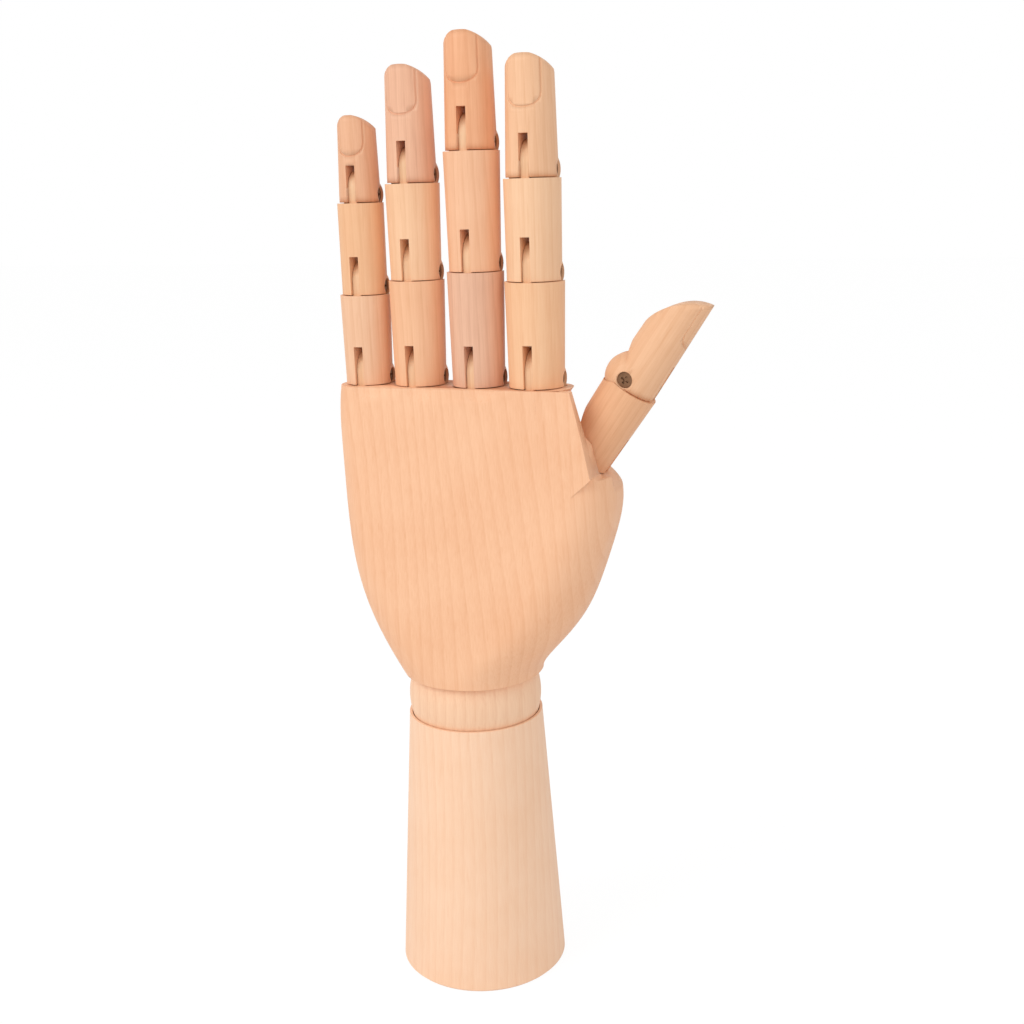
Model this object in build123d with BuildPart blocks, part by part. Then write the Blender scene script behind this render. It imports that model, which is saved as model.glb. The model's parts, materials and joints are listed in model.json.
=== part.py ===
"""Jointed wooden hand on a turned forearm: a left hand seen from its back.

Millimetres. The origin is the centre of the forearm's underside, +Z points up through the
middle finger, -Y is the back of the hand and +X is the thumb's side.
"""
import os
from math import cos, hypot, radians, sin

from build123d import *

# Forearm and wrist
BASE_RADIUS = 28.1
RIM_RADIUS = 22.3
FOREARM_HEIGHT = 90.4
BASE_CHAMFER = 0.8
BALL_RADIUS = 22.0
BALL_RISE = 6.0
BALL_CLEARANCE = 0.3
SPRING_BORE_RADIUS = 6.0

# Spring that pulls the palm, the ball and the forearm together
SPRING_RADIUS = 4.0
SPRING_WALL = 1.0
ANCHOR_RECESS_RADIUS = 9.5
ANCHOR_RECESS_DEPTH = 12.2
WASHER_RADIUS = 8.0
WASHER_THICKNESS = 1.5
ANCHOR_GAP = 0.25
ANCHOR_PIN_RADIUS = 1.2
ANCHOR_PIN_LENGTH = 14.0
EYE_RADIUS = 3.0
EYE_WIRE_RADIUS = 0.9
EYE_SHANK_RADIUS = 1.8
EYE_SHANK_LENGTH = 16.0
EYE_ROOM = 13.0

# Palm: its top, its lower edge and the height where the thumb's mound is widest
PALM_TOP = 199.5
PALM_BOTTOM = 105.0
PALM_CORNER = 9.0

# Finger joints
PIVOT_RISE = 2.5
BARREL_SETBACK = 2.0
RIM_WALL = 0.8
CUP_GAP = 0.3
SHOULDER_GAP = 0.3
FLEX_LIMIT = 75.0
FLEX_CLEARANCE = 0.4
NOTCH_RISE = 6.5
TONGUE_THICKNESS = 2.6
TONGUE_SIDE_GAP = 0.2
TONGUE_INSET = 1.2
TONGUE_CROWN = 2.0
TONGUE_ROOT = 6.0
SLOT_ROOF_GAP = 0.8
GLUE_GAP = 0.03
SCREW_RADIUS = 1.5
SCREW_CLEARANCE = 0.05
SCREW_HEAD_RADIUS = 2.3
SCREW_HEAD_HEIGHT = 1.3
SCREW_HEAD_DEPTH = 1.2
SCREW_HEAD_GAP = 0.25
SCREW_END_INSET = 1.5
RECESS_WIDTH = 0.7
RECESS_LENGTH = 2.6
RECESS_DEPTH = 0.7

# Fingertips
TIP_ROUND = 8.0
TIP_TAPER = 0.9
PAD_START = 0.42
PAD_MIDDLE = 0.85

# Fingers: place across the palm, barrel radius of each piece, then pivot-to-pivot lengths
FINGERS = {
    "index": {"x": 24.5, "radii": (8.7, 8.5, 8.0), "lengths": (32.5, 30.5, 33.0)},
    "middle": {"x": 5.2, "radii": (8.3, 8.1, 7.9), "lengths": (35.5, 36.0, 32.0)},
    "ring": {"x": -14.8, "radii": (8.2, 8.0, 7.7), "lengths": (33.0, 29.5, 32.5)},
    "little": {"x": -32.9, "radii": (7.5, 7.2, 6.5), "lengths": (28.5, 28.5, 24.0)},
}
FINGER_PIECES = ("proximal", "middle", "tip")
FINGER_PIVOT_Y = 2.0

# Thumb: place of its lower pivot, lean away from the fingers and its two pieces
THUMB_PIVOT = (37.5, 6.0, 179.5)
THUMB_LEAN = 34.0
THUMB_RADII = (8.3, 8.0)
THUMB_LENGTHS = (27.5, 32.5)
THUMB_PIECES = ("proximal", "tip")
THUMB_SWING = 12.0
POCKET_CLEARANCE = 0.6

BALL_CENTRE = FOREARM_HEIGHT + BALL_RISE
SOCKET_RADIUS = BALL_RADIUS + BALL_CLEARANCE
FAR = 60.0

os.makedirs("parts", exist_ok=True)


def save(piece, name):
    """Label a finished piece and write it to its own file."""
    piece.part.label = name
    export_step(piece.part, f"parts/{name}.step")


def side_plane(frame):
    """Plane of a finger's side view: across is towards the palm, up is towards the tip."""
    return Plane(origin=frame.origin, x_dir=frame.y_dir, z_dir=frame.x_dir)


def front_plane(frame):
    """Plane of a finger's back view: across is the hinge axis, up is towards the tip."""
    return Plane(origin=frame.origin, x_dir=frame.x_dir, z_dir=-frame.y_dir)


def raised(frame, height):
    """The frame of the next joint, further up the same finger."""
    return frame.offset(height)


def tongue_width(radius):
    return 2 * (radius - TONGUE_INSET)


def slot_roof(radius):
    """Height of the saw slot's roof above its pivot: it clears the tongue's furthest point."""
    return hypot(BARREL_SETBACK, TONGUE_CROWN) + radius - TONGUE_INSET + SLOT_ROOF_GAP


def notch_corner(radius):
    """Inner corner of the palm-side notch, which takes the lower piece's rim at full flexion."""
    turn = radians(FLEX_LIMIT)
    below = PIVOT_RISE - FLEX_CLEARANCE
    beside = radius + RIM_WALL - BARREL_SETBACK + FLEX_CLEARANCE
    return below * sin(turn) + beside * cos(turn), beside * sin(turn) - below * cos(turn)


def cut_seat(frame, radius):
    """Cut the rounded cup and the glued tongue's mortise into the piece being built."""
    with Locations(frame.location):
        Sphere(radius + CUP_GAP, mode=Mode.SUBTRACT)
        root = radius + TONGUE_ROOT
        with Locations((0, -BARREL_SETBACK, -root / 2)):
            Box(
                TONGUE_THICKNESS + 2 * GLUE_GAP,
                tongue_width(radius) + 2 * GLUE_GAP,
                root + 2 * GLUE_GAP,
                mode=Mode.SUBTRACT,
            )


def make_tongue(name, frame, radius):
    """Flat hinge plate with a rounded crown, glued into the piece below the joint."""
    side = side_plane(frame)
    with BuildPart() as tongue:
        with BuildSketch(side):
            root = radius + TONGUE_ROOT
            with Locations((-BARREL_SETBACK, (TONGUE_CROWN - root) / 2)):
                Rectangle(tongue_width(radius), root + TONGUE_CROWN)
            with Locations((-BARREL_SETBACK, TONGUE_CROWN)):
                Circle(tongue_width(radius) / 2)
            Circle(SCREW_RADIUS + SCREW_CLEARANCE, mode=Mode.SUBTRACT)
        extrude(amount=TONGUE_THICKNESS / 2, both=True)
    save(tongue, name)


def make_screw(name, frame, radius, head_side):
    """Hinge screw along the joint's axis, its cross-recessed head sunk into one ear."""
    head_seat = radius - SCREW_HEAD_DEPTH - SCREW_HEAD_HEIGHT
    end = radius - SCREW_END_INSET
    axis = Plane(origin=frame.origin, x_dir=frame.y_dir, z_dir=frame.x_dir * head_side)
    with BuildPart() as screw:
        with BuildSketch(axis.offset(-end)):
            Circle(SCREW_RADIUS)
        extrude(amount=end + head_seat)
        with BuildSketch(axis.offset(head_seat)):
            Circle(SCREW_HEAD_RADIUS)
        extrude(amount=SCREW_HEAD_HEIGHT)
        with BuildSketch(axis.offset(head_seat + SCREW_HEAD_HEIGHT)):
            Rectangle(RECESS_LENGTH, RECESS_WIDTH)
            Rectangle(RECESS_WIDTH, RECESS_LENGTH)
        extrude(amount=-RECESS_DEPTH, mode=Mode.SUBTRACT)
    save(screw, name)


def make_piece(name, frame, radius, length, next_radius, head_side):
    """One turned finger piece: barrel, round knuckle, notch, slot, screw hole and seat or tip."""
    side = side_plane(frame)
    last = next_radius is None
    height = length if last else length - PIVOT_RISE
    end_radius = radius * TIP_TAPER if last else next_radius + RIM_WALL
    corner = notch_corner(radius)
    with BuildPart(frame) as piece:
        with Locations((0, -BARREL_SETBACK, 0)):
            Cone(radius, end_radius, height, align=(Align.CENTER, Align.CENTER, Align.MIN))
        if last:
            pad = radius - BARREL_SETBACK
            with BuildSketch(side):
                with BuildLine():
                    tip = (-BARREL_SETBACK - radius, length)
                    start = (pad, length * PAD_START)
                    ThreePointArc(start, (-0.1 * radius, length * PAD_MIDDLE), tip)
                    Polyline(tip, (tip[0] - 1, length), (tip[0] - 1, -1), (pad + 1, -1), start)
                make_face()
            extrude(amount=FAR, both=True, mode=Mode.INTERSECT)
            with BuildSketch(front_plane(frame)):
                straight = length - TIP_ROUND
                with Locations((0, straight / 2 - 1)):
                    Rectangle(2 * radius + 2, straight + 2)
                with Locations((0, straight)):
                    Ellipse(radius, TIP_ROUND)
            extrude(amount=FAR, both=True, mode=Mode.INTERSECT)
        with BuildSketch(side):
            with BuildLine():
                far = radius + BARREL_SETBACK + 2
                top = corner[1] + NOTCH_RISE
                edge = radius - BARREL_SETBACK + 0.5
                Polyline(corner, (edge, top), (far, top), (far, -1), (0, -1), corner)
            make_face()
        extrude(amount=FAR, both=True, mode=Mode.SUBTRACT)
        Sphere(radius)
        with BuildSketch(frame.offset(SHOULDER_GAP - PIVOT_RISE)):
            with Locations((0, -BARREL_SETBACK)):
                Circle(radius)
            with Locations((0, -BARREL_SETBACK - radius / 2)):
                Rectangle(2 * radius, radius, mode=Mode.INTERSECT)
        extrude(amount=PIVOT_RISE - SHOULDER_GAP)
        if not last:
            cut_seat(raised(Plane.XY, length), next_radius)
        with BuildSketch(front_plane(frame)):
            roof = slot_roof(radius)
            with Locations((0, (roof - FAR) / 2)):
                Rectangle(TONGUE_THICKNESS + 2 * TONGUE_SIDE_GAP, roof + FAR)
        extrude(amount=FAR, both=True, mode=Mode.SUBTRACT)
        axis = Plane(origin=frame.origin, x_dir=frame.y_dir, z_dir=frame.x_dir * head_side)
        screw_end = radius - SCREW_END_INSET + GLUE_GAP
        with BuildSketch(axis.offset(-screw_end)):
            Circle(SCREW_RADIUS + GLUE_GAP)
        extrude(amount=screw_end + radius, mode=Mode.SUBTRACT)
        with BuildSketch(axis.offset(radius - SCREW_HEAD_DEPTH - SCREW_HEAD_HEIGHT)):
            Circle(SCREW_HEAD_RADIUS + SCREW_HEAD_GAP)
        extrude(amount=FAR, mode=Mode.SUBTRACT)
    save(piece, name)


def make_digit(digit, names, frame, radii, lengths, head_side):
    """All pieces, tongues and screws of one finger or of the thumb."""
    for number, name in enumerate(names):
        radius = radii[number]
        above = radii[number + 1] if number + 1 < len(names) else None
        make_tongue(f"{digit}_{name}_tongue", frame, radius)
        make_piece(f"{digit}_{name}", frame, radius, lengths[number], above, head_side)
        make_screw(f"{digit}_{name}_screw", frame, radius, head_side)
        frame = raised(frame, lengths[number])


def finger_frame(digit):
    """Frame of a finger's lowest joint: hinge along X, palm towards +Y, tip towards +Z."""
    place = (FINGERS[digit]["x"], FINGER_PIVOT_Y, PALM_TOP + PIVOT_RISE)
    return Plane(origin=place, x_dir=(1, 0, 0), z_dir=(0, 0, 1))


def thumb_frame():
    """Frame of the thumb's lower joint: hinge along Y, leaning away from the fingers."""
    lean = radians(THUMB_LEAN)
    return Plane(origin=THUMB_PIVOT, x_dir=(0, 1, 0), z_dir=(sin(lean), 0, cos(lean)))


# Forearm: tapered turning with a cup for the ball and a recess for the spring's anchor
with BuildPart() as forearm:
    with BuildSketch(Plane.XZ):
        with BuildLine():
            Polyline(
                (0, 0),
                (BASE_RADIUS - BASE_CHAMFER, 0),
                (BASE_RADIUS, BASE_CHAMFER),
                (RIM_RADIUS, FOREARM_HEIGHT),
                (0, FOREARM_HEIGHT),
                (0, 0),
            )
        make_face()
    revolve(axis=Axis.Z)
    with Locations((0, 0, BALL_CENTRE)):
        Sphere(SOCKET_RADIUS, mode=Mode.SUBTRACT)
    with BuildSketch(Plane.XY):
        Circle(ANCHOR_RECESS_RADIUS)
    extrude(amount=ANCHOR_RECESS_DEPTH, mode=Mode.SUBTRACT)
    with BuildSketch(Plane.XY):
        Circle(SPRING_BORE_RADIUS)
    extrude(amount=FOREARM_HEIGHT, mode=Mode.SUBTRACT)
save(forearm, "forearm")

# Wrist ball, bored for the spring
with BuildPart(Plane.XY.offset(BALL_CENTRE)) as wrist_ball:
    Sphere(BALL_RADIUS)
    Cylinder(SPRING_BORE_RADIUS, 2 * BALL_RADIUS + 2, mode=Mode.SUBTRACT)
save(wrist_ball, "wrist_ball")

# Palm: sections from the round wrist to the flat row of finger seats
# Each is height, left edge, right edge, back of the hand, palm side and corner radius
PALM_SECTIONS = (
    (PALM_BOTTOM, -23.0, 23.0, -23.0, 23.0, 22.5),
    (119.0, -31.0, 33.0, -21.5, 22.0, 20.0),
    (136.0, -37.5, 42.5, -19.0, 21.0, 17.0),
    (152.0, -40.5, 47.8, -16.5, 19.5, 15.0),
    (167.0, -41.8, 50.3, -14.3, 17.5, 13.5),
    (183.0, -42.3, 42.5, -12.3, 13.5, 11.0),
    (PALM_TOP, -41.5, 36.0, -10.5, 9.3, PALM_CORNER),
)
EYE_SEAT = BALL_CENTRE + SOCKET_RADIUS + EYE_ROOM
thumb = thumb_frame()
with BuildPart() as palm:
    for level, left, right, back, front, corner in PALM_SECTIONS:
        with BuildSketch(Plane.XY.offset(level)):
            with Locations(((left + right) / 2, (back + front) / 2)):
                RectangleRounded(right - left, front - back, corner)
    loft()
    with Locations((0, 0, BALL_CENTRE)):
        Sphere(SOCKET_RADIUS, mode=Mode.SUBTRACT)
    with BuildSketch(Plane.XY.offset(BALL_CENTRE)):
        Circle(SPRING_BORE_RADIUS)
    extrude(amount=EYE_SEAT - BALL_CENTRE, mode=Mode.SUBTRACT)
    with BuildSketch(Plane.XY.offset(EYE_SEAT)):
        Circle(EYE_SHANK_RADIUS + GLUE_GAP)
    extrude(amount=EYE_SHANK_LENGTH + GLUE_GAP, mode=Mode.SUBTRACT)
    # Pocket for the thumb, open to the palm side, behind a flange on the back of the hand
    with BuildSketch(side_plane(thumb).offset(-THUMB_RADII[0] - RIM_WALL)):
        with BuildLine():
            swing = radians(THUMB_SWING + 3)
            inner = THUMB_RADII[0] + RIM_WALL - BARREL_SETBACK + POCKET_CLEARANCE
            Polyline(
                (-FAR, -PIVOT_RISE),
                (inner, -PIVOT_RISE),
                (inner + FAR * sin(swing), FAR * cos(swing)),
                (-FAR, FAR),
                (-FAR, -PIVOT_RISE),
            )
        make_face()
    extrude(amount=FAR, mode=Mode.SUBTRACT)
    cut_seat(thumb, THUMB_RADII[0])
    for digit in FINGERS:
        cut_seat(finger_frame(digit), FINGERS[digit]["radii"][0])
save(palm, "palm")

# Screw eye in the palm, which the spring hooks onto
EYE_CENTRE = EYE_SEAT - EYE_RADIUS
with BuildPart(Plane.XY.offset(EYE_SEAT - EYE_WIRE_RADIUS)) as wrist_screw_eye:
    Cylinder(
        EYE_SHANK_RADIUS,
        EYE_SHANK_LENGTH,
        align=(Align.CENTER, Align.CENTER, Align.MIN),
    )
    with Locations(Location((0, 0, -EYE_RADIUS), (90, 0, 0))):
        Torus(EYE_RADIUS, EYE_WIRE_RADIUS)
save(wrist_screw_eye, "wrist_screw_eye")

# Tension spring as a sleeve of its wound size, with its washer and cross pin below
SPRING_TOP = EYE_SEAT - 2 * EYE_RADIUS - 2 * EYE_WIRE_RADIUS - ANCHOR_GAP
WASHER_TOP = ANCHOR_RECESS_DEPTH - ANCHOR_GAP
PIN_TOP = WASHER_TOP - WASHER_THICKNESS - ANCHOR_GAP
with BuildPart() as tension_spring:
    with BuildSketch(Plane.XY.offset(PIN_TOP + ANCHOR_GAP)):
        Circle(SPRING_RADIUS)
        Circle(SPRING_RADIUS - SPRING_WALL, mode=Mode.SUBTRACT)
    extrude(amount=SPRING_TOP - PIN_TOP - ANCHOR_GAP)
save(tension_spring, "tension_spring")

with BuildPart() as anchor_washer:
    with BuildSketch(Plane.XY.offset(WASHER_TOP)):
        Circle(WASHER_RADIUS)
        Circle(SPRING_RADIUS + ANCHOR_GAP, mode=Mode.SUBTRACT)
    extrude(amount=-WASHER_THICKNESS)
save(anchor_washer, "anchor_washer")

with BuildPart() as anchor_pin:
    with BuildSketch(Plane.YZ.offset(-ANCHOR_PIN_LENGTH / 2)):
        with Locations((0, PIN_TOP - ANCHOR_PIN_RADIUS)):
            Circle(ANCHOR_PIN_RADIUS)
    extrude(amount=ANCHOR_PIN_LENGTH)
save(anchor_pin, "anchor_pin")

# Fingers and thumb
for digit, sizes in FINGERS.items():
    make_digit(digit, FINGER_PIECES, finger_frame(digit), sizes["radii"], sizes["lengths"], 1)
make_digit("thumb", THUMB_PIECES, thumb, THUMB_RADII, THUMB_LENGTHS, -1)
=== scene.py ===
"""Finish, light and camera for the jointed wooden hand."""
import json
from math import cos, radians, sin, sqrt

import bmesh
import bpy
from mathutils import Matrix, Vector


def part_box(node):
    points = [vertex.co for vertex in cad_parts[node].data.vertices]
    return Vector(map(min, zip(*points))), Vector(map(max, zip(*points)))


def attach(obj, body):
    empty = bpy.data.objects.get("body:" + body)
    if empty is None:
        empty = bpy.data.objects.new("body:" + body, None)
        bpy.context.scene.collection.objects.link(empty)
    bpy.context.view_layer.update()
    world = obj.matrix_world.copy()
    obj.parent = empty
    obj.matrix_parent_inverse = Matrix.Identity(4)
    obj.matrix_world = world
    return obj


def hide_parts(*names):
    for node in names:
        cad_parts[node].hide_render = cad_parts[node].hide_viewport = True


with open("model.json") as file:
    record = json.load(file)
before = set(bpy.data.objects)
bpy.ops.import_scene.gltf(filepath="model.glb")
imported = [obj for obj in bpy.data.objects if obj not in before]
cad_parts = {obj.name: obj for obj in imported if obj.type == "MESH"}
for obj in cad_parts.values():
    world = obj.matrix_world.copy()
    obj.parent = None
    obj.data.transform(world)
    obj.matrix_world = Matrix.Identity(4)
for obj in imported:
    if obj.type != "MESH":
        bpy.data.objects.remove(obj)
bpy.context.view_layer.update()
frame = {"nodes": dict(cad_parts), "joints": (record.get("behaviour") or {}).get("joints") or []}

bl_info = {
    "name": "Jointed wooden hand",
    "version": (1, 0, 0),
    "blender": (4, 5, 0),
    "location": "View3D > Sidebar > Hand",
    "description": "Dresses the jointed wooden hand with wood, bronze screws and carved nails",
    "category": "Object",
}

MM = 0.001
FINGERS = ("index", "middle", "ring", "little")
PIECES = ("proximal", "middle", "tip")
DIGITS = {name: PIECES for name in FINGERS}
DIGITS["thumb"] = ("proximal", "tip")
HINGES = {joint["child"]: joint for joint in frame["joints"]}
THUMB_LEAN = radians(34.0)
BARREL_SETBACK = 2.0 * MM
TIP_NARROWING = 0.1
REFERENCE_RADIUS = 8.0 * MM
NAIL_STEPS = 24
MERGE_DISTANCE = 0.001 * MM
SHARP_ANGLE = radians(32)

# Shallow scallops on the palm's back edge under three fingers
PALM_BACK = -10.6 * MM
SCALLOP_RADIUS = 14.0 * MM
SCALLOP_DEPTH = 1.5 * MM
SCALLOP_RISE = 3.0 * MM
SCALLOP_SHIFT = 4.0 * MM

# Flat back of the palm between the index finger and the thumb, corners as (x, z)
FLANGE_BACK = -10.35 * MM
FLANGE_SLOPE = 0.1135
FLANGE_FRONT = -7.5 * MM
FLANGE_TOP = (27.0 * MM, 38.0 * MM)
FLANGE_CORNER = (45.4 * MM, 173.6 * MM)
FLANGE_FOOT = (31.0 * MM, 160.6 * MM)

# Room that the flange leaves for the index finger's seat
SEAT_SIDES = (20.0 * MM, 34.4 * MM)
SEAT_FLOOR = 189.5 * MM
SEAT_BACK = -9.5 * MM

# Step under the thumb, corners as (x, z)
STEP_TOP = 38.4 * MM
STEP_CORNERS = ((44.9 * MM, 173.8 * MM), (46.2 * MM, 172.4 * MM), (62.0 * MM, 173.6 * MM))
STEP_REACH = 40.0 * MM
OVERSHOOT = 1.0 * MM

# Grain of the wood: scales are per metre, weights say how much each mark darkens the wood
SWAY_STRETCH = (1, 1, 0.16)
SWAY_SCALE = 26.0
SWAY_REACH = 20.0 * MM
BOARD_SLANT = 0.35
RING_FADE = 2.6
RING_EDGE = 26.0
RING_WEIGHT = 0.34
FIBRE_STRETCH = (1, 1, 0.035)
FIBRE_MIDDLE = 0.36
FIBRE_WEIGHT = 0.8
FLECK_STRETCH = (1, 1, 0.06)
FLECK_SCALE = 900.0
FLECK_LIMIT = 0.69
FLECK_WEIGHT = 0.14
CLOUD_SCALE = 45.0
CLOUD_MIDDLE = 0.42
CLOUD_WEIGHT = 0.7
WOOD_ROUGHNESS = 0.46
FIBRE_ROUGHNESS = 0.2
FIBRE_RELIEF = 0.6
FLECK_RELIEF = 0.4
GRAIN_BUMP = 0.12
GRAIN_DEPTH = 0.25 * MM
WOOD_SHEEN = 0.35

# Places of the boards in the log, in metres, and the lean and width of the palm's rings
FOREARM_BOARD = (0.004, 0.02, 0)
BALL_BOARD = (0.03, 0.01, 0.2)
PALM_BOARD = (0.01, 0.05, 0.1)
PALM_TURN = 0.06
PALM_RINGS = 0.8
TONGUE_BOARD = (0.2, 0.1, 0.3)
BOARD_STEP = (0.0137, 0.0091, 0.053)

# Metal: tarnish clouds and fine scratches
TARNISH_SCALE = 900.0
TARNISH_SHADE = 0.55
TARNISH_ROUGHNESS = 0.25
SCRATCH_STRETCH = (1, 0.1, 1)
SCRATCH_SCALE = 6000.0
SCRATCH_BUMP = 0.15
SCRATCH_DEPTH = 0.05 * MM
METALNESS = 0.9
SCREW_ROUGHNESS = 0.3
ZINC_ROUGHNESS = 0.35

# Floor, world and lamps: name, place, size and power of each lamp
FLOOR_HALF = 4.0
FLOOR_WHITE = 0.9
FLOOR_ROUGHNESS = 0.9
FLOOR_GLOW = 1.05
FLOOR_GLOW_SHARE = 0.88
WORLD_LIGHT = 0.62
LAMP_AIM = (0, 0, 0.16)
LAMPS = (
    ("key_light", (-0.75, -1.0, 1.05), 0.9, 9.0),
    ("fill_light", (0.9, -0.9, 0.7), 1.1, 3.0),
)
SENSOR_WIDTH = 36
CLIP_START = 0.01

# Pale and dark wood of each finger piece, as display colours in 0 to 255
PIECE_TONES = {
    "index_tip": ((244, 196, 157), (226, 168, 124)),
    "index_middle": ((247, 203, 164), (232, 176, 132)),
    "index_proximal": ((248, 200, 158), (234, 174, 128)),
    "middle_tip": ((242, 182, 140), (222, 150, 106)),
    "middle_middle": ((245, 193, 155), (228, 166, 124)),
    "middle_proximal": ((235, 186, 155), (206, 150, 122)),
    "ring_tip": ((239, 187, 154), (212, 154, 124)),
    "ring_middle": ((247, 200, 160), (230, 174, 130)),
    "ring_proximal": ((246, 193, 153), (228, 166, 122)),
    "little_tip": ((236, 182, 145), (216, 154, 114)),
    "little_middle": ((242, 191, 148), (226, 166, 120)),
    "little_proximal": ((243, 196, 160), (226, 168, 128)),
    "thumb_proximal": ((240, 186, 144), (220, 158, 114)),
    "thumb_tip": ((241, 191, 151), (222, 164, 120)),
}


def linear(rgb):
    """A display colour given in 0 to 255, as the linear colour that shaders take."""
    parts = [value / 255 for value in rgb]
    return tuple(v / 12.92 if v <= 0.04045 else ((v + 0.055) / 1.055) ** 2.4 for v in parts)


def colour_property(name, description, rgb):
    """A colour setting whose default is a display colour."""
    return bpy.props.FloatVectorProperty(
        name=name, description=description, subtype="COLOR", size=3, min=0, max=1, default=linear(rgb)
    )


class HandWood(bpy.types.PropertyGroup):
    """Colours and grain of the wooden pieces."""

    forearm_pale: colour_property("Forearm pale", "Pale early wood of the forearm", (253, 213, 181))
    forearm_dark: colour_property("Forearm dark", "Darker rings of the forearm", (243, 192, 152))
    ball_pale: colour_property("Ball pale", "Pale early wood of the wrist ball", (250, 208, 173))
    ball_dark: colour_property("Ball dark", "Darker rings of the wrist ball", (232, 176, 136))
    palm_pale: colour_property("Palm pale", "Pale early wood of the palm", (247, 195, 156))
    palm_dark: colour_property("Palm dark", "Darker rings of the palm", (232, 168, 124))
    tongue_pale: colour_property("Tongue pale", "Pale wood of the hinge plates", (244, 204, 164))
    tongue_dark: colour_property("Tongue dark", "Darker grain of the hinge plates", (224, 172, 128))
    ring_spacing: bpy.props.FloatProperty(
        name="Ring spacing",
        description="Distance between growth rings",
        default=3.2 * MM,
        min=0.5 * MM,
        unit="LENGTH",
    )
    fibre_spacing: bpy.props.FloatProperty(
        name="Fibre spacing",
        description="Width of the fine fibres along the grain",
        default=0.45 * MM,
        min=0.1 * MM,
        unit="LENGTH",
    )


class HandMetal(bpy.types.PropertyGroup):
    """Colours of the metal pieces."""

    bronze: colour_property("Screw bronze", "Dull brown bronze of the hinge screws", (150, 112, 84))
    zinc: colour_property("Spring zinc", "Plain zinc of the spring, washer, pin and eye", (190, 190, 188))


class HandNails(bpy.types.PropertyGroup):
    """Sizes of the carved nail outlines."""

    line_radius: bpy.props.FloatProperty(
        name="Line radius",
        description="Half the width of the carved line",
        default=0.26 * MM,
        min=0.1 * MM,
        unit="LENGTH",
    )
    half_angle: bpy.props.FloatProperty(
        name="Half angle",
        description="How far round the fingertip the nail reaches to each side",
        default=radians(44),
        subtype="ANGLE",
    )
    length: bpy.props.FloatProperty(
        name="Length",
        description="Nail length from the fingertip down to its root",
        default=15.0 * MM,
        unit="LENGTH",
    )
    root_round: bpy.props.FloatProperty(
        name="Root rounding",
        description="Height of the curved root of the nail",
        default=4.0 * MM,
        unit="LENGTH",
    )


class HandStage(bpy.types.PropertyGroup):
    """Camera's place, turn, tilt, lean and lens."""

    azimuth: bpy.props.FloatProperty(
        name="Azimuth", description="Camera's place round the forearm", default=radians(22), subtype="ANGLE"
    )
    distance: bpy.props.FloatProperty(
        name="Distance", description="Camera to forearm axis", default=419.9 * MM, unit="LENGTH"
    )
    height: bpy.props.FloatProperty(
        name="Height", description="Camera above the floor", default=261.1 * MM, unit="LENGTH"
    )
    yaw: bpy.props.FloatProperty(
        name="Yaw", description="Camera's turn to the right", default=0.0333, subtype="ANGLE"
    )
    pitch: bpy.props.FloatProperty(
        name="Pitch", description="Camera's look downwards", default=0.2421, subtype="ANGLE"
    )
    roll: bpy.props.FloatProperty(
        name="Roll", description="Camera's lean to the right", default=0.0298, subtype="ANGLE"
    )
    lens: bpy.props.FloatProperty(
        name="Lens", description="Focal length on a 36 mm sensor", default=46.76, min=1
    )


def link(tree, source, target):
    """Join two sockets."""
    tree.links.new(source, target)


def math_node(tree, operation, first, second=None):
    """A Math node fed by sockets or numbers."""
    node = tree.nodes.new("ShaderNodeMath")
    node.operation = operation
    for socket, value in zip(node.inputs, (first, second)):
        if value is None:
            continue
        if isinstance(value, (int, float)):
            socket.default_value = value
        else:
            link(tree, value, socket)
    return node.outputs[0]


def group_input(tree, name, kind, default):
    """An input of a node group."""
    socket = tree.interface.new_socket(name=name, in_out="INPUT", socket_type=kind)
    if default is not None:
        socket.default_value = default


def noise(tree, vector, scale, detail, roughness=0.55):
    """Noise in 0 to 1 at a scale per metre."""
    node = tree.nodes.new("ShaderNodeTexNoise")
    node.inputs["Scale"].default_value = scale
    node.inputs["Detail"].default_value = detail
    node.inputs["Roughness"].default_value = roughness
    link(tree, vector, node.inputs["Vector"])
    return node.outputs["Fac"]


def stretched(tree, vector, scale):
    """The vector scaled on each axis, which draws marks out along the small ones."""
    node = tree.nodes.new("ShaderNodeVectorMath")
    node.operation = "MULTIPLY"
    node.inputs[1].default_value = scale
    link(tree, vector, node.inputs[0])
    return node.outputs[0]


def weighted(tree, value, weight, middle=0.0):
    """A mark's share: how far it is from its middle, times its weight."""
    if middle:
        value = math_node(tree, "SUBTRACT", value, middle)
    return math_node(tree, "MULTIPLY", value, weight)


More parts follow.
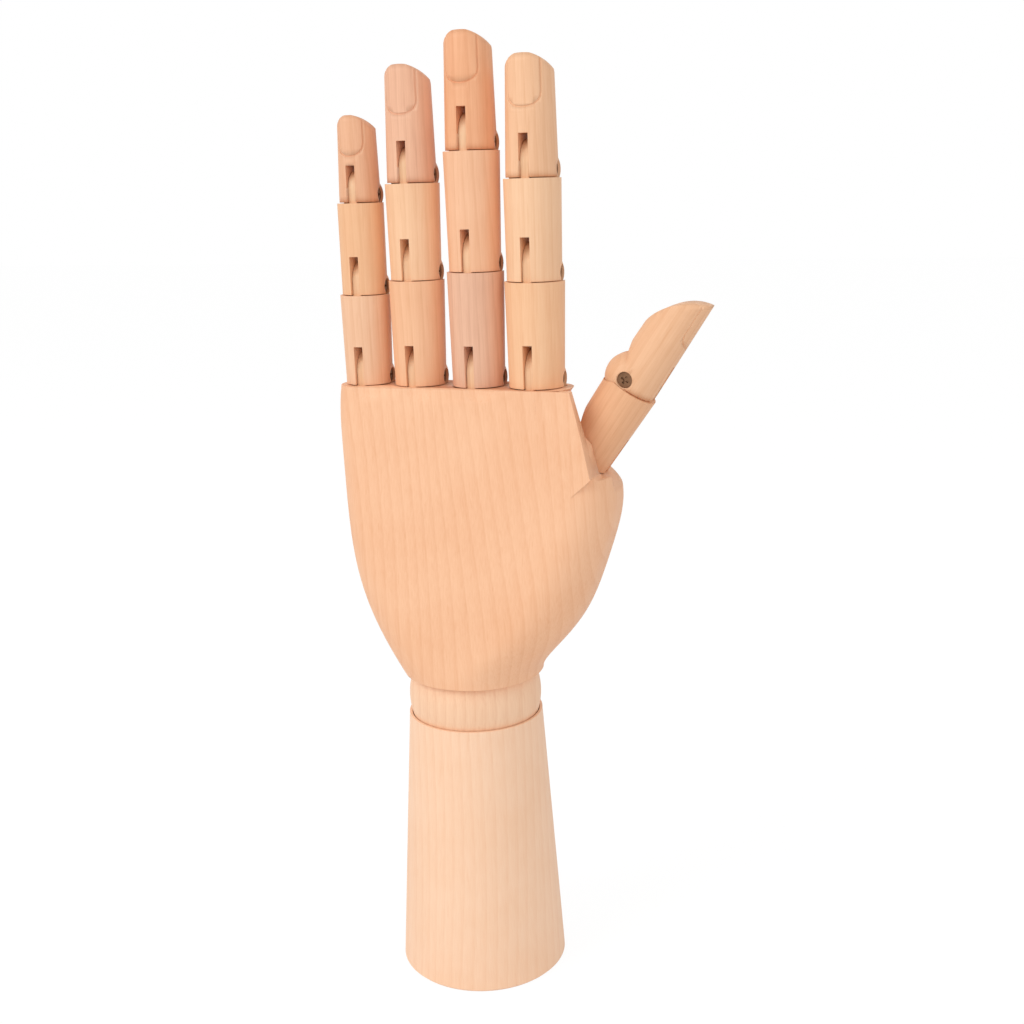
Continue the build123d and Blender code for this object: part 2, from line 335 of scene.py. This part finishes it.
def wood_group():
    """Growth rings, fibres, pores and handling marks of sanded wood whose grain runs along Z."""
    tree = bpy.data.node_groups.new("Sanded wood", "ShaderNodeTree")
    group_input(tree, "Vector", "NodeSocketVector", None)
    group_input(tree, "Pale", "NodeSocketColor", None)
    group_input(tree, "Dark", "NodeSocketColor", None)
    group_input(tree, "Rings per metre", "NodeSocketFloat", 300.0)
    group_input(tree, "Fibres per metre", "NodeSocketFloat", 2000.0)
    outputs = {"Color": "NodeSocketColor", "Roughness": "NodeSocketFloat", "Height": "NodeSocketFloat"}
    for name, kind in outputs.items():
        tree.interface.new_socket(name=name, in_out="OUTPUT", socket_type=kind)
    inside = tree.nodes.new("NodeGroupInput")
    outside = tree.nodes.new("NodeGroupOutput")
    vector = inside.outputs["Vector"]

    sway = noise(tree, stretched(tree, vector, SWAY_STRETCH), SWAY_SCALE, 0.6)
    split = tree.nodes.new("ShaderNodeSeparateXYZ")
    link(tree, vector, split.inputs[0])
    across = math_node(tree, "ADD", split.outputs["X"], weighted(tree, split.outputs["Y"], BOARD_SLANT))
    bowed = math_node(tree, "ADD", across, weighted(tree, sway, SWAY_REACH))
    phase = math_node(tree, "MULTIPLY", bowed, inside.outputs["Rings per metre"])
    saw = math_node(tree, "FRACT", phase)
    ring = math_node(tree, "POWER", saw, RING_FADE)
    edge = math_node(tree, "SUBTRACT", 1.0, math_node(tree, "POWER", saw, RING_EDGE))
    ring = math_node(tree, "MULTIPLY", ring, edge)

    fibres = tree.nodes.new("ShaderNodeTexNoise")
    fibres.inputs["Detail"].default_value = 3.0
    fibres.inputs["Roughness"].default_value = 0.6
    link(tree, stretched(tree, vector, FIBRE_STRETCH), fibres.inputs["Vector"])
    link(tree, inside.outputs["Fibres per metre"], fibres.inputs["Scale"])
    fibre = fibres.outputs["Fac"]
    flecks = noise(tree, stretched(tree, vector, FLECK_STRETCH), FLECK_SCALE, 1.0)
    fleck = math_node(tree, "GREATER_THAN", flecks, FLECK_LIMIT)
    cloud = noise(tree, vector, CLOUD_SCALE, 3.0)

    tone = weighted(tree, ring, RING_WEIGHT)
    tone = math_node(tree, "ADD", tone, weighted(tree, fibre, FIBRE_WEIGHT, FIBRE_MIDDLE))
    tone = math_node(tree, "ADD", tone, weighted(tree, cloud, CLOUD_WEIGHT, CLOUD_MIDDLE))
    tone = math_node(tree, "ADD", tone, weighted(tree, fleck, FLECK_WEIGHT))
    ramp = tree.nodes.new("ShaderNodeClamp")
    link(tree, tone, ramp.inputs["Value"])
    mix = tree.nodes.new("ShaderNodeMix")
    mix.data_type = "RGBA"
    link(tree, ramp.outputs[0], mix.inputs["Factor"])
    link(tree, inside.outputs["Pale"], mix.inputs["A"])
    link(tree, inside.outputs["Dark"], mix.inputs["B"])
    link(tree, mix.outputs["Result"], outside.inputs["Color"])

    rough = math_node(tree, "ADD", WOOD_ROUGHNESS, weighted(tree, fibre, FIBRE_ROUGHNESS))
    link(tree, rough, outside.inputs["Roughness"])
    raised = weighted(tree, fibre, FIBRE_RELIEF)
    height = math_node(tree, "SUBTRACT", raised, weighted(tree, fleck, FLECK_RELIEF))
    link(tree, height, outside.inputs["Height"])
    return tree


def wood_material(name, pale, dark, offset=(0, 0, 0), turn=0.0, ring_scale=1.0):
    """Sanded wood with its own board: offset moves it through the log, turn leans the grain."""
    settings = bpy.context.scene.hand_wood
    material = bpy.data.materials.new(name)
    material.use_nodes = True
    tree = material.node_tree
    shader = tree.nodes["Principled BSDF"]
    place = tree.nodes.new("ShaderNodeTexCoord")
    mapping = tree.nodes.new("ShaderNodeMapping")
    mapping.inputs["Location"].default_value = offset
    mapping.inputs["Rotation"].default_value = (0, turn, 0)
    link(tree, place.outputs["Object"], mapping.inputs["Vector"])
    wood = tree.nodes.new("ShaderNodeGroup")
    wood.node_tree = bpy.data.node_groups.get("Sanded wood") or wood_group()
    link(tree, mapping.outputs["Vector"], wood.inputs["Vector"])
    wood.inputs["Pale"].default_value = (*pale, 1)
    wood.inputs["Dark"].default_value = (*dark, 1)
    wood.inputs["Rings per metre"].default_value = ring_scale / settings.ring_spacing
    wood.inputs["Fibres per metre"].default_value = 1 / settings.fibre_spacing
    bump = tree.nodes.new("ShaderNodeBump")
    bump.inputs["Strength"].default_value = GRAIN_BUMP
    bump.inputs["Distance"].default_value = GRAIN_DEPTH
    link(tree, wood.outputs["Height"], bump.inputs["Height"])
    link(tree, wood.outputs["Color"], shader.inputs["Base Color"])
    link(tree, wood.outputs["Roughness"], shader.inputs["Roughness"])
    link(tree, bump.outputs["Normal"], shader.inputs["Normal"])
    shader.inputs["Specular IOR Level"].default_value = WOOD_SHEEN
    return material


def metal_material(name, colour, roughness):
    """Dull metal with tarnish clouds and fine scratches."""
    material = bpy.data.materials.new(name)
    material.use_nodes = True
    tree = material.node_tree
    shader = tree.nodes["Principled BSDF"]
    place = tree.nodes.new("ShaderNodeTexCoord")
    cloud = noise(tree, place.outputs["Object"], TARNISH_SCALE, 4.0)
    mix = tree.nodes.new("ShaderNodeMix")
    mix.data_type = "RGBA"
    link(tree, cloud, mix.inputs["Factor"])
    mix.inputs["A"].default_value = (*colour, 1)
    mix.inputs["B"].default_value = (*[value * TARNISH_SHADE for value in colour], 1)
    link(tree, mix.outputs["Result"], shader.inputs["Base Color"])
    rough = math_node(tree, "ADD", roughness, weighted(tree, cloud, TARNISH_ROUGHNESS))
    link(tree, rough, shader.inputs["Roughness"])
    scratch = noise(tree, stretched(tree, place.outputs["Object"], SCRATCH_STRETCH), SCRATCH_SCALE, 2.0)
    bump = tree.nodes.new("ShaderNodeBump")
    bump.inputs["Strength"].default_value = SCRATCH_BUMP
    bump.inputs["Distance"].default_value = SCRATCH_DEPTH
    link(tree, scratch, bump.inputs["Height"])
    link(tree, bump.outputs["Normal"], shader.inputs["Normal"])
    shader.inputs["Metallic"].default_value = METALNESS
    return material


def dress(node, material):
    """Give a node's object one material."""
    piece = frame["nodes"][node]
    piece.data.materials.clear()
    piece.data.materials.append(material)


def board_offset(number):
    """A place in the log for one piece, different for each."""
    return tuple(step * number for step in BOARD_STEP)


class HAND_OT_forearm(bpy.types.Operator):
    """Dress the turned forearm in the palest wood"""

    bl_idname = "hand.forearm"
    bl_label = "Forearm"

    def execute(self, context):
        wood = context.scene.hand_wood
        material = wood_material("forearm_wood", wood.forearm_pale, wood.forearm_dark, FOREARM_BOARD)
        dress("forearm", material)
        return {"FINISHED"}


class HAND_OT_wrist_ball(bpy.types.Operator):
    """Dress the wrist ball"""

    bl_idname = "hand.wrist_ball"
    bl_label = "Wrist ball"

    def execute(self, context):
        wood = context.scene.hand_wood
        dress("wrist_ball", wood_material("ball_wood", wood.ball_pale, wood.ball_dark, BALL_BOARD))
        return {"FINISHED"}


class HAND_OT_palm(bpy.types.Operator):
    """Carve the palm's slanted edge, thumb step and scallops and dress it in warm wood"""

    bl_idname = "hand.palm"
    bl_label = "Palm"

    def execute(self, context):
        wood = context.scene.hand_wood
        material = wood_material(
            "palm_wood", wood.palm_pale, wood.palm_dark, PALM_BOARD, PALM_TURN, PALM_RINGS
        )
        dress("palm", material)
        tools = [thumb_step()]
        for digit in FINGERS[1:]:
            tools.append(scallop(HINGES[f"{digit}_proximal"]["pos_m"][0] + SCALLOP_SHIFT))
        carve("palm", tools, material, [flange()])
        return {"FINISHED"}


def tool_object(name, work):
    """A cutting tool from a finished bmesh."""
    mesh = bpy.data.meshes.new(name)
    bmesh.ops.recalc_face_normals(work, faces=work.faces)
    work.to_mesh(mesh)
    work.free()
    tool = bpy.data.objects.new(name, mesh)
    bpy.context.scene.collection.objects.link(tool)
    return tool


def prism(name, outline, back, front):
    """A prism through the hand from (x, z) points; back gives its rear face at each height."""
    work = bmesh.new()
    rear = [work.verts.new((x, back(z), z)) for x, z in outline]
    fore = [work.verts.new((x, front, z)) for x, z in outline]
    work.faces.new(rear)
    work.faces.new(fore)
    for here in range(len(outline)):
        there = (here + 1) % len(outline)
        work.faces.new((rear[here], rear[there], fore[there], fore[here]))
    return tool_object(name, work)


def palm_top():
    """Height of the palm's top."""
    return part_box("palm")[1][2]


def palm_back(height):
    """Back of the palm at a height, near the thumb, a hair under its surface."""
    return FLANGE_BACK - FLANGE_SLOPE * (palm_top() - height)


def flange():
    """Flat back of the palm carried out to its slanted edge, clear of the index finger's seat."""
    top = palm_top()
    left, right = FLANGE_TOP
    plate = prism("flange", ((left, top), (right, top), FLANGE_CORNER, FLANGE_FOOT), palm_back, FLANGE_FRONT)
    left, right = SEAT_SIDES
    above = top + OVERSHOOT
    room = ((left, above), (right, above), (right, SEAT_FLOOR), (left, SEAT_FLOOR))
    clear = prism("seat_room", room, lambda height: SEAT_BACK, STEP_REACH)
    settle(plate, [(clear, "DIFFERENCE")])
    return plate


def settle(piece, tools):
    """Apply cuts and joins to a piece's mesh and take the tools away."""
    for tool, operation in tools:
        step = piece.modifiers.new(tool.name, "BOOLEAN")
        step.operation = operation
        step.solver = "EXACT"
        step.object = tool
    done = bpy.data.meshes.new_from_object(piece.evaluated_get(bpy.context.evaluated_depsgraph_get()))
    piece.modifiers.clear()
    piece.data = done
    for tool, operation in tools:
        bpy.data.objects.remove(tool)


def thumb_step():
    """Prism that leaves the slanted edge beside the index finger and the step under the thumb."""
    above = palm_top() + OVERSHOOT
    outline = ((STEP_TOP, above), *STEP_CORNERS, (STEP_CORNERS[-1][0], above))
    return prism("thumb_step", outline, lambda height: -STEP_REACH, STEP_REACH)


def scallop(across):
    """Ball that leaves a shallow lens on the palm's back edge under one finger."""
    work = bmesh.new()
    bmesh.ops.create_icosphere(work, subdivisions=5, radius=SCALLOP_RADIUS)
    place = (across, PALM_BACK - SCALLOP_RADIUS + SCALLOP_DEPTH, palm_top() + SCALLOP_RISE)
    bmesh.ops.translate(work, verts=work.verts, vec=place)
    return tool_object("scallop", work)


def carve(node, tools, material, added=()):
    """Join pieces to a copy of a node's mesh and cut the tools out of it; it then stands for the node."""
    piece = merged_copy(node, f"{node}_carved")
    settle(piece, [(part, "UNION") for part in added] + [(tool, "DIFFERENCE") for tool in tools])
    carved = piece.data
    carved.polygons.foreach_set("use_smooth", [True] * len(carved.polygons))
    carved.set_sharp_from_angle(angle=SHARP_ANGLE)
    carved.materials.clear()
    carved.materials.append(material)
    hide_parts(node)
    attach(piece, node)


class HAND_OT_finger_pieces(bpy.types.Operator):
    """Dress each finger and thumb piece in its own board of wood"""

    bl_idname = "hand.finger_pieces"
    bl_label = "Finger pieces"

    def execute(self, context):
        number = 1
        for digit, names in DIGITS.items():
            for name in names:
                node = f"{digit}_{name}"
                pale, dark = PIECE_TONES[node]
                turn = -THUMB_LEAN if digit == "thumb" else 0.0
                board = board_offset(number)
                dress(node, wood_material(f"{node}_wood", linear(pale), linear(dark), board, turn))
                number += 1
        return {"FINISHED"}


class HAND_OT_nails(bpy.types.Operator):
    """Carve the outline of a nail into each fingertip"""

    bl_idname = "hand.nails"
    bl_label = "Carved nails"

    def execute(self, context):
        for digit in DIGITS:
            carve_nail(digit, context.scene.hand_nails)
        return {"FINISHED"}


def tip_axes(digit):
    """Hinge, back-of-the-hand and tip directions of a digit."""
    if digit == "thumb":
        along = Vector((sin(THUMB_LEAN), 0, cos(THUMB_LEAN)))
        return Vector((0, 1, 0)), Vector((cos(THUMB_LEAN), 0, -sin(THUMB_LEAN))), along
    return Vector((1, 0, 0)), Vector((0, -1, 0)), Vector((0, 0, 1))


def nail_path(digit, nails):
    """Points of the nail's U on the back of the fingertip, from one side of the tip to the other."""
    node = f"{digit}_tip"
    across, back, along = tip_axes(digit)
    pivot = Vector(HINGES[node]["pos_m"])
    corners = [vertex.co - pivot for vertex in frame["nodes"][node].data.vertices]
    length = max(corner.dot(along) for corner in corners)
    radius = max(corner.dot(across) for corner in corners)
    root = length - nails.length * radius / REFERENCE_RADIUS
    turns = [nails.half_angle * (2 * step / NAIL_STEPS - 1) for step in range(NAIL_STEPS + 1)]
    spots = [(-nails.half_angle, length), (-nails.half_angle, (length + root) / 2 + nails.root_round)]
    for turn in turns:
        share = turn / nails.half_angle
        spots.append((turn, root + nails.root_round * (1 - sqrt(max(0.0, 1 - share * share)))))
    spots += [(-turn, height) for turn, height in reversed(spots[:2])]
    points = []
    for turn, height in spots:
        reach = radius * (1 - TIP_NARROWING * height / length)
        spot = pivot + along * height + across * reach * sin(turn)
        points.append(spot + back * (BARREL_SETBACK + reach * cos(turn)))
    return points


def tube_along(points, radius):
    """A thin closed tube through the points."""
    curve = bpy.data.curves.new("nail_line", "CURVE")
    curve.dimensions = "3D"
    curve.bevel_depth = radius
    curve.bevel_resolution = 2
    curve.use_fill_caps = True
    spline = curve.splines.new("POLY")
    spline.points.add(len(points) - 1)
    for point, place in zip(spline.points, points):
        point.co = (*place, 1)
    holder = bpy.data.objects.new("nail_line", curve)
    bpy.context.scene.collection.objects.link(holder)
    mesh = bpy.data.meshes.new_from_object(holder.evaluated_get(bpy.context.evaluated_depsgraph_get()))
    bpy.data.objects.remove(holder)
    tube = bpy.data.objects.new("nail_tube", mesh)
    bpy.context.scene.collection.objects.link(tube)
    return tube


def merged_copy(node, name):
    """A copy of a node's mesh with its triangles joined up."""
    mesh = frame["nodes"][node].data.copy()
    work = bmesh.new()
    work.from_mesh(mesh)
    bmesh.ops.remove_doubles(work, verts=work.verts, dist=MERGE_DISTANCE)
    work.to_mesh(mesh)
    work.free()
    mesh.name = name
    piece = bpy.data.objects.new(name, mesh)
    bpy.context.scene.collection.objects.link(piece)
    return piece


def carve_nail(digit, nails):
    """Cut the nail's outline into a fingertip."""
    node = f"{digit}_tip"
    tube = tube_along(nail_path(digit, nails), nails.line_radius)
    carve(node, [tube], bpy.data.materials[f"{node}_wood"])


class HAND_OT_tongues(bpy.types.Operator):
    """Dress the glued hinge plates"""

    bl_idname = "hand.tongues"
    bl_label = "Hinge tongues"

    def execute(self, context):
        wood = context.scene.hand_wood
        material = wood_material("tongue_wood", wood.tongue_pale, wood.tongue_dark, TONGUE_BOARD)
        for digit, names in DIGITS.items():
            for name in names:
                dress(f"{digit}_{name}_tongue", material)
        return {"FINISHED"}


class HAND_OT_screws(bpy.types.Operator):
    """Dress the hinge screws in dull bronze"""

    bl_idname = "hand.screws"
    bl_label = "Hinge screws"

    def execute(self, context):
        material = metal_material("screw_bronze", context.scene.hand_metal.bronze, SCREW_ROUGHNESS)
        for digit, names in DIGITS.items():
            for name in names:
                dress(f"{digit}_{name}_screw", material)
        return {"FINISHED"}


class HAND_OT_wrist_hardware(bpy.types.Operator):
    """Dress the spring, washer, cross pin and screw eye in zinc"""

    bl_idname = "hand.wrist_hardware"
    bl_label = "Wrist hardware"

    def execute(self, context):
        material = metal_material("wrist_zinc", context.scene.hand_metal.zinc, ZINC_ROUGHNESS)
        for node in ("tension_spring", "anchor_washer", "anchor_pin", "wrist_screw_eye"):
            dress(node, material)
        return {"FINISHED"}


class HAND_OT_stage(bpy.types.Operator):
    """Lay the floor, set the soft light and place the camera"""

    bl_idname = "hand.stage"
    bl_label = "Stage"

    def execute(self, context):
        lay_floor()
        set_world(context.scene)
        for lamp in LAMPS:
            add_lamp(*lamp)
        place_camera(context.scene)
        context.scene.view_settings.view_transform = "Standard"
        return {"FINISHED"}


def lay_floor():
    """White floor that keeps a soft shadow."""
    mesh = bpy.data.meshes.new("floor")
    corners = [(x * FLOOR_HALF, y * FLOOR_HALF, 0) for x, y in ((-1, -1), (1, -1), (1, 1), (-1, 1))]
    mesh.from_pydata(corners, [], [(0, 1, 2, 3)])
    floor = bpy.data.objects.new("floor", mesh)
    bpy.context.scene.collection.objects.link(floor)
    material = bpy.data.materials.new("white_floor")
    material.use_nodes = True
    tree = material.node_tree
    shader = tree.nodes["Principled BSDF"]
    shader.inputs["Base Color"].default_value = (FLOOR_WHITE, FLOOR_WHITE, FLOOR_WHITE, 1)
    shader.inputs["Roughness"].default_value = FLOOR_ROUGHNESS
    glow = tree.nodes.new("ShaderNodeEmission")
    mix = tree.nodes.new("ShaderNodeMixShader")
    glow.inputs["Strength"].default_value = FLOOR_GLOW
    factor = math_node(tree, "MULTIPLY", seen_directly(tree), FLOOR_GLOW_SHARE)
    link(tree, factor, mix.inputs["Fac"])
    link(tree, shader.outputs[0], mix.inputs[1])
    link(tree, glow.outputs[0], mix.inputs[2])
    link(tree, mix.outputs[0], tree.nodes["Material Output"].inputs["Surface"])
    mesh.materials.append(material)


def seen_directly(tree):
    """1 for camera, glossy and transmission rays, 0 for the light that reaches the object."""
    path = tree.nodes.new("ShaderNodeLightPath")
    seen = math_node(tree, "MAXIMUM", path.outputs["Is Camera Ray"], path.outputs["Is Glossy Ray"])
    return math_node(tree, "MAXIMUM", seen, path.outputs["Is Transmission Ray"])


def set_world(scene):
    """White to look at, softer as a light."""
    scene.world = bpy.data.worlds.new("studio")
    scene.world.use_nodes = True
    tree = scene.world.node_tree
    background = tree.nodes["Background"]
    background.inputs["Color"].default_value = (1, 1, 1, 1)
    strength = tree.nodes.new("ShaderNodeMapRange")
    link(tree, seen_directly(tree), strength.inputs["Value"])
    strength.inputs["To Min"].default_value = WORLD_LIGHT
    strength.inputs["To Max"].default_value = 1.0
    link(tree, strength.outputs[0], background.inputs["Strength"])


def add_lamp(name, place, size, power):
    """A soft square lamp aimed at the middle of the hand."""
    lamp = bpy.data.lights.new(name, "AREA")
    lamp.size = size
    lamp.energy = power
    holder = bpy.data.objects.new(name, lamp)
    aim = Vector(LAMP_AIM) - Vector(place)
    holder.location = place
    holder.rotation_euler = aim.to_track_quat("-Z", "Y").to_euler()
    bpy.context.scene.collection.objects.link(holder)


def place_camera(scene):
    """The photograph's camera: its place round the forearm, then its turn, tilt and lean."""
    stage = scene.hand_stage
    level = cos(stage.pitch)
    forward = Vector((sin(stage.yaw) * level, cos(stage.yaw) * level, -sin(stage.pitch)))
    right = Vector((cos(stage.yaw), -sin(stage.yaw), 0))
    down = forward.cross(right)
    right, down = (
        cos(stage.roll) * right + sin(stage.roll) * down,
        cos(stage.roll) * down - sin(stage.roll) * right,
    )
    around = Matrix.Rotation(stage.azimuth, 3, "Z")
    axes = Matrix((around @ right, around @ -down, around @ -forward)).transposed()
    data = bpy.data.cameras.new("camera")
    data.sensor_width = SENSOR_WIDTH
    data.lens = stage.lens
    data.clip_start = CLIP_START
    camera = bpy.data.objects.new("camera", data)
    place = around @ Vector((0, -stage.distance, stage.height))
    camera.matrix_world = Matrix.Translation(place) @ axes.to_4x4()
    scene.collection.objects.link(camera)
    scene.camera = camera


class HAND_PT_panel(bpy.types.Panel):
    """Lists the steps that dress the hand"""

    bl_idname = "HAND_PT_panel"
    bl_label = "Jointed wooden hand"
    bl_space_type = "VIEW_3D"
    bl_region_type = "UI"
    bl_category = "Hand"

    def draw(self, context):
        for step in STEPS:
            self.layout.operator(step.bl_idname)


STEPS = (
    HAND_OT_forearm,
    HAND_OT_wrist_ball,
    HAND_OT_palm,
    HAND_OT_finger_pieces,
    HAND_OT_nails,
    HAND_OT_tongues,
    HAND_OT_screws,
    HAND_OT_wrist_hardware,
    HAND_OT_stage,
)
SETTINGS = {
    "hand_wood": HandWood,
    "hand_metal": HandMetal,
    "hand_nails": HandNails,
    "hand_stage": HandStage,
}


def register():
    for name, group in SETTINGS.items():
        bpy.utils.register_class(group)
        setattr(bpy.types.Scene, name, bpy.props.PointerProperty(type=group))
    for cls in (*STEPS, HAND_PT_panel):
        bpy.utils.register_class(cls)


def unregister():
    for cls in reversed((*STEPS, HAND_PT_panel)):
        bpy.utils.unregister_class(cls)
    for name, group in reversed(SETTINGS.items()):
        delattr(bpy.types.Scene, name)
        bpy.utils.unregister_class(group)


def main():
    register()
    for step in STEPS:
        group, name = step.bl_idname.split(".")
        getattr(getattr(bpy.ops, group), name)()


if __name__ == "__main__":
    main()
